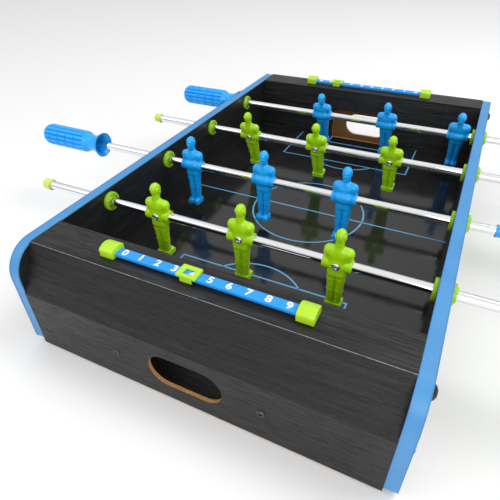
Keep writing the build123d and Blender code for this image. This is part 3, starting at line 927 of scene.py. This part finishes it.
def softened(name, outline, low, high, rounding, finish):
    """A board with a (y, z) outline from x = low to high, all its edges rounded."""
    working = bmesh.new()
    near_ring = [working.verts.new((low, y, z)) for y, z in outline]
    cap = working.faces.new(near_ring)
    grown = bmesh.ops.extrude_face_region(working, geom=[cap])["geom"]
    moved = [item for item in grown if isinstance(item, bmesh.types.BMVert)]
    bmesh.ops.translate(working, verts=moved, vec=(high - low, 0, 0))
    bmesh.ops.recalc_face_normals(working, faces=working.faces)
    sharp = [edge for edge in working.edges if edge.calc_face_angle(0) > 0.6]
    bmesh.ops.bevel(
        working, geom=sharp, offset=rounding, segments=3, profile=0.5, affect="EDGES",
        clamp_overlap=True,
    )
    mesh = bpy.data.meshes.new(name)
    working.to_mesh(mesh)
    working.free()
    mesh.materials.append(finish)
    piece = put_in_scene(name, mesh)
    tidy_normals(piece, 40.0)
    return piece


def oblong(y_low, y_high, z_low, z_high):
    return [(y_low, z_low), (y_high, z_low), (y_high, z_high), (y_low, z_high)]


def merge(pieces):
    """Joins pieces into the first one, and removes the rest."""
    working = bmesh.new()
    for piece in pieces:
        working.from_mesh(piece.data)
    working.to_mesh(pieces[0].data)
    working.free()
    for piece in pieces[1:]:
        bpy.data.objects.remove(piece)
    return pieces[0]


white_ink, white_tree, white_shader, white_places = new_finish("digit_ink")
white_noise = noise(white_tree, white_places, 700.0, 3.0)
join(
    white_tree,
    blend_colours(white_tree, white_noise, (0.80, 0.83, 0.87), (0.95, 0.96, 0.97)),
    white_shader.inputs["Base Color"],
)
white_shader.inputs["Roughness"].default_value = 0.4

digit_step, digit_height, digit_widening, digit_swell = 14.33 * mm, 8.4 * mm, 1.1, 0.022
bar_round, block_round = 0.5 * mm, 0.8 * mm
digit_thick = 0.08 * mm
arch_side, arch_steps = 6.3 * mm, 16
block_lap = 2.0 * mm
for end in ("near", "far"):
    turn = Matrix.Rotation(0 if end == "near" else pi, 4, "Z")
    bar_low, bar_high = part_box(f"score_bar_{end}")
    middle = (bar_low + bar_high) / 2
    bar_half = (bar_high - bar_low) / 2
    bar = softened(
        f"scorer_bar_{end}",
        oblong(middle.y - bar_half.y, middle.y + bar_half.y, bar_low.z, bar_high.z),
        bar_low.x, bar_high.x, bar_round, scorer_blue,
    )
    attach(bar, "table")
    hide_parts(f"score_bar_{end}")

    printed = []
    for digit in range(10):
        text = bpy.data.curves.new(f"digit_{digit}", "FONT")
        text.body = str(digit)
        text.size = digit_height
        text.offset = digit_swell * digit_height
        text.extrude = digit_thick / 2
        text.align_x, text.align_y = "CENTER", "CENTER"
        text.resolution_u = 6
        drawn_text = put_in_scene(text.name, text)
        bpy.context.view_layer.update()
        glyph = bpy.data.meshes.new_from_object(drawn_text)
        bpy.data.objects.remove(drawn_text)
        glyph.materials.clear()
        glyph.materials.append(white_ink)
        place = Vector(((digit - 4.5) * digit_step, 0, 0))
        glyph.transform(Matrix.Translation(place) @ Matrix.Diagonal((digit_widening, 1, 1, 1)))
        printed.append(put_in_scene(f"scorer_digits_{end}", glyph))
    digits = merge(printed)
    digits.data.transform(Matrix.Translation((middle.x, middle.y, bar_high.z)) @ turn)
    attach(digits, "table")

    block_low, block_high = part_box(f"score_end_blocks_{end}")
    block_half = (block_high.y - block_low.y) / 2
    # The arch is an arc through both sides' tops and the crown
    rise = block_high.z - ledge_top - arch_side
    arch_radius = (block_half ** 2 + rise ** 2) / (2 * rise)
    arch_reach = np.arcsin(block_half / arch_radius)
    arch = [(middle.y - block_half, ledge_top), (middle.y + block_half, ledge_top)]
    for step in range(arch_steps + 1):
        angle = arch_reach * (1 - 2 * step / arch_steps)
        arch.append(
            (middle.y + arch_radius * sin(angle), block_high.z - arch_radius * (1 - cos(angle)))
        )
    inner = bar_half.x - block_lap
    blocks = merge([
        softened(f"scorer_blocks_{end}", arch, low, high, block_round, scorer_green)
        for low, high in ((block_low.x, -inner), (inner, block_high.x))
    ])
    tidy_normals(blocks, 40.0)
    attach(blocks, "table")
    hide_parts(f"score_end_blocks_{end}")

# A green window slides along each bar to show the score. It is a frame with sloping edges,
# and has a skirt down each side that hooks under the bar.
window_x, window_y = 7.8 * mm, 5.6 * mm
skirt_half, skirt_thick, skirt_round = 4.8 * mm, 1.3 * mm, 0.3 * mm
skirt_low, skirt_lap, bar_clearance = ledge_top + 0.5 * mm, 0.5 * mm, 0.2 * mm
corner_round, edge_slope = 0.7 * mm, 0.7 * mm
frame_steps = 5


def rounded_ring(half_x, half_y, rounding, z):
    ring = []
    for x_side, y_side, start in ((1, 1, 0), (-1, 1, pi / 2), (-1, -1, pi), (1, -1, 3 * pi / 2)):
        for step in range(frame_steps + 1):
            angle = start + pi / 2 * step / frame_steps
            ring.append(
                (x_side * (half_x - rounding) + rounding * cos(angle),
                 y_side * (half_y - rounding) + rounding * sin(angle), z)
            )
    return ring


for end in ("near", "far"):
    low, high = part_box(f"score_slider_{end}")
    middle = (low + high) / 2
    half = (high - low) / 2
    bar_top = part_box(f"score_bar_{end}")[1].z + bar_clearance
    rings = (
        rounded_ring(half.x, half.y, corner_round, bar_top)
        + rounded_ring(half.x, half.y, corner_round, high.z - edge_slope)
        + rounded_ring(half.x - edge_slope * 0.4, half.y - edge_slope * 0.4, corner_round, high.z)
        + rounded_ring(window_x / 2 + edge_slope, window_y / 2 + edge_slope, corner_round, high.z)
        + rounded_ring(window_x / 2, window_y / 2, corner_round / 2, high.z - edge_slope)
        + rounded_ring(window_x / 2, window_y / 2, corner_round / 2, bar_top)
    )
    pane = mesh_piece(
        f"scorer_window_{end}", rings, strip_faces(6, 4 * (frame_steps + 1)), scorer_green
    )
    skirts = []
    for side in (-1, 1):
        inner, outer = sorted((side * (half.y - skirt_thick), side * half.y))
        outline = oblong(inner, outer, skirt_low, bar_top + skirt_lap)
        skirts.append(
            softened(f"skirt_{end}", outline, -skirt_half, skirt_half, skirt_round, scorer_green)
        )
    window = merge([pane, *skirts])
    window.data.transform(Matrix.Translation((middle.x, middle.y, 0)))
    tidy_normals(window, 30.0)
    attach(window, f"score_slider_{end}")
    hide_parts(f"score_slider_{end}")

# Every visible screw is a domed cross-head: chromed ones hold the men, large black ones go
# through the side panels, and small dark ones through the lower faces into the guides.
def screw_head(name, radius, dome, slot_half, slot_reach, slot_depth):
    """A head with its seat at the origin and its dome towards +Z, with a cross cut in it."""
    around, rings = 72, 22
    skirt = dome * 0.22
    circle = [(cos(2 * pi * step / around), sin(2 * pi * step / around)) for step in range(around)]
    corners = []
    for ring in range(1, rings + 1):
        share = ring / rings
        height = skirt + (dome - skirt) * (1 - share ** 2) ** 0.62
        for across, up_by in circle:
            x, y = radius * share * across, radius * share * up_by
            narrow, wide = sorted((abs(x), abs(y)))
            cut = 1 - ease(slot_half * 0.75, slot_half * 1.25, narrow)
            cut *= 1 - ease(slot_reach * 0.85, slot_reach, wide)
            corners.append((x, y, height - slot_depth * cut))
    corners += [(radius * across, radius * up_by, 0) for across, up_by in circle]
    faces = strip_faces(rings + 1, around, closed_rings=False)
    faces.append(tuple(range(around)))
    faces.append(tuple(reversed(range(rings * around, (rings + 1) * around))))
    piece = mesh_piece(name, corners, faces, chrome)
    tidy_normals(piece, 40.0)
    return piece


screw_tree = bpy.data.node_groups.new("set_screws", "GeometryNodeTree")
screw_sockets = screw_tree.interface
screw_sockets.new_socket("Geometry", in_out="OUTPUT", socket_type="NodeSocketGeometry")
screw_sockets.new_socket("Geometry", in_out="INPUT", socket_type="NodeSocketGeometry")
head_socket = screw_sockets.new_socket("Head", in_out="INPUT", socket_type="NodeSocketObject")
finish_socket = screw_sockets.new_socket("Finish", in_out="INPUT", socket_type="NodeSocketMaterial")
tree_in = screw_tree.nodes.new("NodeGroupInput")
tree_out = screw_tree.nodes.new("NodeGroupOutput")
head_info = screw_tree.nodes.new("GeometryNodeObjectInfo")
turn_value = screw_tree.nodes.new("GeometryNodeInputNamedAttribute")
turn_value.data_type = "FLOAT_VECTOR"
turn_value.inputs["Name"].default_value = "turn"
set_heads = screw_tree.nodes.new("GeometryNodeInstanceOnPoints")
realize = screw_tree.nodes.new("GeometryNodeRealizeInstances")
set_finish = screw_tree.nodes.new("GeometryNodeSetMaterial")
for source, target in (
    (tree_in.outputs["Head"], head_info.inputs["Object"]),
    (tree_in.outputs["Geometry"], set_heads.inputs["Points"]),
    (head_info.outputs["Geometry"], set_heads.inputs["Instance"]),
    (turn_value.outputs["Attribute"], set_heads.inputs["Rotation"]),
    (set_heads.outputs["Instances"], realize.inputs["Geometry"]),
    (realize.outputs["Geometry"], set_finish.inputs["Geometry"]),
    (tree_in.outputs["Finish"], set_finish.inputs["Material"]),
    (set_finish.outputs["Geometry"], tree_out.inputs["Geometry"]),
):
    join(screw_tree, source, target)


def set_screws(name, head, finish, places, directions, spins):
    """One mesh of screw heads at the given places, each with its dome in its direction."""
    points = bpy.data.meshes.new(name + "_points")
    points.from_pydata([tuple(place) for place in places], [], [])
    turns = points.attributes.new("turn", "FLOAT_VECTOR", "POINT")
    for number, (direction, spin) in enumerate(zip(directions, spins)):
        turn = Vector(direction).to_track_quat("Z", "Y").to_matrix() @ Matrix.Rotation(spin, 3, "Z")
        turns.data[number].vector = turn.to_euler()
    holder = put_in_scene(name + "_points", points)
    modifier = holder.modifiers.new("screws", "NODES")
    modifier.node_group = screw_tree
    modifier[head_socket.identifier] = head
    modifier[finish_socket.identifier] = finish
    bpy.context.view_layer.update()
    graph = bpy.context.evaluated_depsgraph_get()
    mesh = bpy.data.meshes.new_from_object(holder.evaluated_get(graph))
    mesh.name = name
    holder.modifiers.clear()
    bpy.data.objects.remove(holder)
    return put_in_scene(name, mesh)


def screw_metal(name, dull, bright, roughness, metallic=1.0):
    material, tree, shader, places = new_finish(name)
    wear = noise(tree, places, 420.0, 5.0, 0.6)
    rough = maths(tree, "MULTIPLY_ADD", wear, 0.2, roughness - 0.1)
    paint(tree, shader, blend_colours(tree, wear, dull, bright), rough)
    shader.inputs["Metallic"].default_value = metallic
    return material


man_head_shape = screw_head("man_screw_head", 3.4 * mm, 1.75 * mm, 0.36 * mm, 2.0 * mm, 0.8 * mm)
panel_head_shape = screw_head("panel_screw_head", 5.25 * mm, 3.9 * mm, 0.7 * mm, 3.0 * mm, 1.6 * mm)
face_head_shape = screw_head("face_screw_head", 3.0 * mm, 1.25 * mm, 0.4 * mm, 1.9 * mm, 0.8 * mm)
black_metal = screw_metal(
    "black_screw_metal", (0.012, 0.012, 0.013), (0.028, 0.028, 0.030), 0.38, 0.6
)
dark_metal = screw_metal("dark_nickel", (0.06, 0.058, 0.055), (0.14, 0.135, 0.13), 0.34)
screw_chrome = screw_metal("screw_chrome", (0.80, 0.80, 0.81), (0.95, 0.95, 0.96), 0.30)

man_screw_seat = 5.65 * mm
for rod in rod_names:
    place = rod_place(rod)
    seats = [place @ Vector((step * man_pitch, man_screw_seat, 0)) for step in (-1, 0, 1)]
    outward = place.to_3x3() @ Vector((0, 1, 0))
    screws = set_screws(
        f"{rod}_man_screws", man_head_shape, screw_chrome, seats, [outward] * 3, (0.4, 1.1, 0.2)
    )
    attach(screws, rod)
    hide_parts(f"{rod}_screws")

panel_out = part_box("side_panel_right")[1].x
panel_screw_y, panel_screw_heights = 227.0 * mm, (20.0 * mm, 80.0 * mm)
panel_seats = [
    Vector((side * panel_out, end * panel_screw_y, height))
    for side in (-1, 1) for end in (-1, 1) for height in panel_screw_heights
]
panel_screws = set_screws(
    "side_panel_dome_screws", panel_head_shape, black_metal, panel_seats,
    [(1 if seat.x > 0 else -1, 0, 0) for seat in panel_seats],
    [0.5 + 0.83 * number for number in range(len(panel_seats))],
)
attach(panel_screws, "table")
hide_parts("side_panel_screws")

face_screw_x, face_screw_height = 61.0 * mm, 32.0 * mm
face_seats = [
    Vector((side * face_screw_x, end * face_out, face_screw_height))
    for side in (-1, 1) for end in (-1, 1)
]
face_screws = set_screws(
    "end_face_dome_screws", face_head_shape, dark_metal, face_seats,
    [(0, 1 if seat.y > 0 else -1, 0) for seat in face_seats], (0.3, 1.2, 0.7, 0.1),
)
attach(face_screws, "table")
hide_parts("end_face_screws")
for head in (man_head_shape, panel_head_shape, face_head_shape):
    bpy.data.objects.remove(head)

# Four round rubber feet under the side panels and gussets keep the table from sliding.
rubber, rubber_tree, rubber_shader, rubber_places = new_finish("black_rubber")
rubber_noise = noise(rubber_tree, rubber_places, 600.0, 4.0)
join(
    rubber_tree,
    blend_colours(rubber_tree, rubber_noise, (0.008, 0.008, 0.008), (0.03, 0.03, 0.03)),
    rubber_shader.inputs["Base Color"],
)
rubber_shader.inputs["Roughness"].default_value = 0.75
add_bump(rubber_tree, rubber_shader, rubber_noise, 0.0001, 0.3)
refinish("rubber_feet", rubber)
